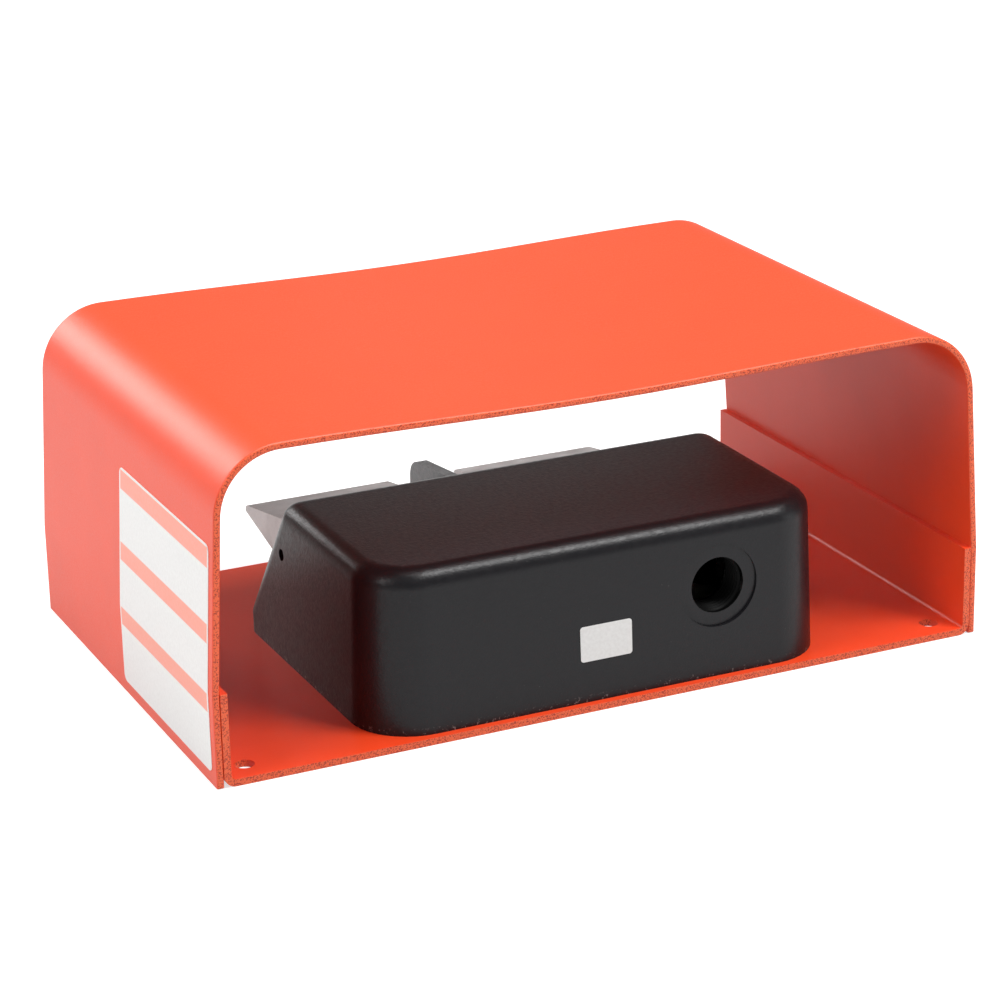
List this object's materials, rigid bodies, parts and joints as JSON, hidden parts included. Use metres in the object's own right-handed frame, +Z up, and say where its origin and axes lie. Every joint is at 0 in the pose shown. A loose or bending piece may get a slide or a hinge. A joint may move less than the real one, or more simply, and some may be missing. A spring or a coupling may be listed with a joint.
{
  "type": "foot switch",
  "caption": "Two-pedal foot switch: sprung sheet-steel treadles in a wedge-fronted cast housing with a conduit entry, under an open-ended orange steel guard.",
  "frame": {"origin": "centre of the guard's footprint, on the floor that the guard stands on", "axes": "+Z up, -Y towards the operator, whose feet enter the guard's open front; +Y towards the rear with the conduit entry; -X to the operator's left"},
  "size_m": [0.3185, 0.1986, 0.1263],
  "materials": {
    "guard_paint": "orange-red powder coat",
    "housing_paint": "black textured powder coat",
    "pedal_paint": "warm grey satin coat",
    "zinc_steel": "zinc plated",
    "spring_steel": "drawn spring wire",
    "bronze": "bare brass and bronze",
    "gasket_rubber": "matte rubber",
    "switch_moulding": "dark brown moulding",
    "plunger_plastic": "red moulding",
    "label_film": "blank film",
    "ground_green": "green dyed zinc"
  },
  "bodies": {
    "guard_and_housing": {"guard_shield": "guard_paint", "guard_base": "guard_paint", "guard_label": "label_film", "housing": "housing_paint", "housing_label": "label_film", "bottom_cover": "zinc_steel", "cover_gasket": "gasket_rubber", "cover_screws": "zinc_steel", "guard_screws": "zinc_steel", "pedal_divider": "housing_paint", "divider_screws": "zinc_steel", "pivot_pin": "zinc_steel", "pin_spacers": "zinc_steel", "pin_clips": "spring_steel", "left_return_spring": "spring_steel", "right_return_spring": "spring_steel", "left_switch_case": "switch_moulding", "right_switch_case": "switch_moulding", "left_switch_lid": "switch_moulding", "right_switch_lid": "switch_moulding", "left_contact_blade": "bronze", "right_contact_blade": "bronze", "left_terminals": "bronze", "right_terminals": "bronze", "terminal_screws": "zinc_steel", "switch_screws": "zinc_steel", "ground_screw": "ground_green"},
    "left_pedal": {"left_treadle": "pedal_paint", "left_bushes": "bronze", "left_actuator": "zinc_steel", "left_spring_cup": "zinc_steel"},
    "right_pedal": {"right_treadle": "pedal_paint", "right_bushes": "bronze", "right_actuator": "zinc_steel", "right_spring_cup": "zinc_steel"},
    "left_switch_button": {"left_plunger": "plunger_plastic"},
    "right_switch_button": {"right_plunger": "plunger_plastic"}
  },
  "joints": [
    {"name": "left_pedal_hinge", "type": "hinge", "parent": "guard_and_housing", "child": "left_pedal", "pos_m": [-0.047, 0.00285, 0.0459], "axis": [1, 0, 0], "range_deg": [0, 8], "stiffness_Nm_per_rad": 6, "springref_deg": -8.59, "deforming": ["left_return_spring"]},
    {"name": "right_pedal_hinge", "type": "hinge", "parent": "guard_and_housing", "child": "right_pedal", "pos_m": [0.047, 0.00285, 0.0459], "axis": [1, 0, 0], "range_deg": [0, 8], "stiffness_Nm_per_rad": 6, "springref_deg": -8.59, "deforming": ["right_return_spring"]},
    {"name": "left_plunger_slide", "type": "slide", "parent": "guard_and_housing", "child": "left_switch_button", "axis": [0, 1, 0], "range_m": [0, 0.00246], "stiffness_N_per_m": 200, "springref_m": -0.002},
    {"name": "right_plunger_slide", "type": "slide", "parent": "guard_and_housing", "child": "right_switch_button", "axis": [0, 1, 0], "range_m": [0, 0.00246], "stiffness_N_per_m": 200, "springref_m": -0.002}
  ],
  "couplings": [
    {"joint": "left_plunger_slide", "follows": "left_pedal_hinge", "m_per_rad": 0.01756},
    {"joint": "right_plunger_slide", "follows": "right_pedal_hinge", "m_per_rad": 0.01756}
  ]
}
